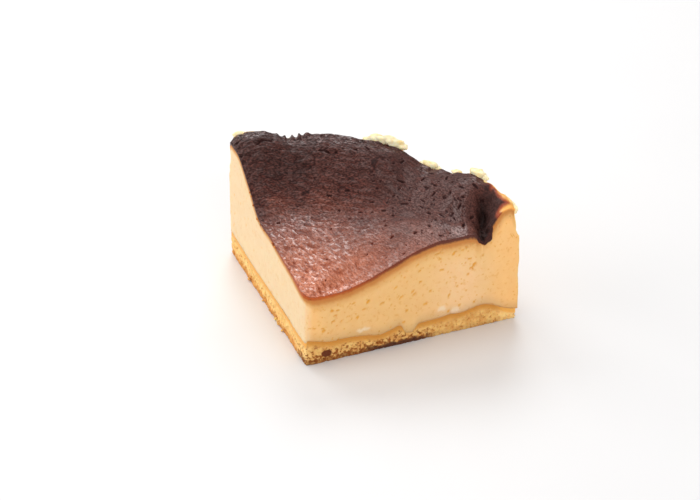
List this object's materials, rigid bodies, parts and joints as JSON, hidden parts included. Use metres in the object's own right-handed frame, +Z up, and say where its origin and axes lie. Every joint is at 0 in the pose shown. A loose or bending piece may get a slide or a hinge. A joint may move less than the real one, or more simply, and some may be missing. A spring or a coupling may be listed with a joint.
{
  "type": "basque cheesecake slice",
  "caption": "Quarter wedge of a small burnt cheesecake: pale baked cheese with a dark scorched, sunken top and a craggy rim, on a thin sheet of golden sponge.",
  "frame": {"origin": "on the resting plane, under the middle of the slice's bounding box", "axes": "+Z up; the slice's point faces -Y, its outer wall +Y, and its cuts run away from the point to -X and +X"},
  "size_m": [0.085, 0.0604, 0.039],
  "materials": {
    "baked_cheese": "moist, fine-pored baked cheese, scorched dark brown on top",
    "sponge": "dry, open-pored sponge with a browned skin"
  },
  "bodies": {
    "root": {"cheese_filling": "baked_cheese", "sponge_base": "sponge"}
  },
  "joints": []
}
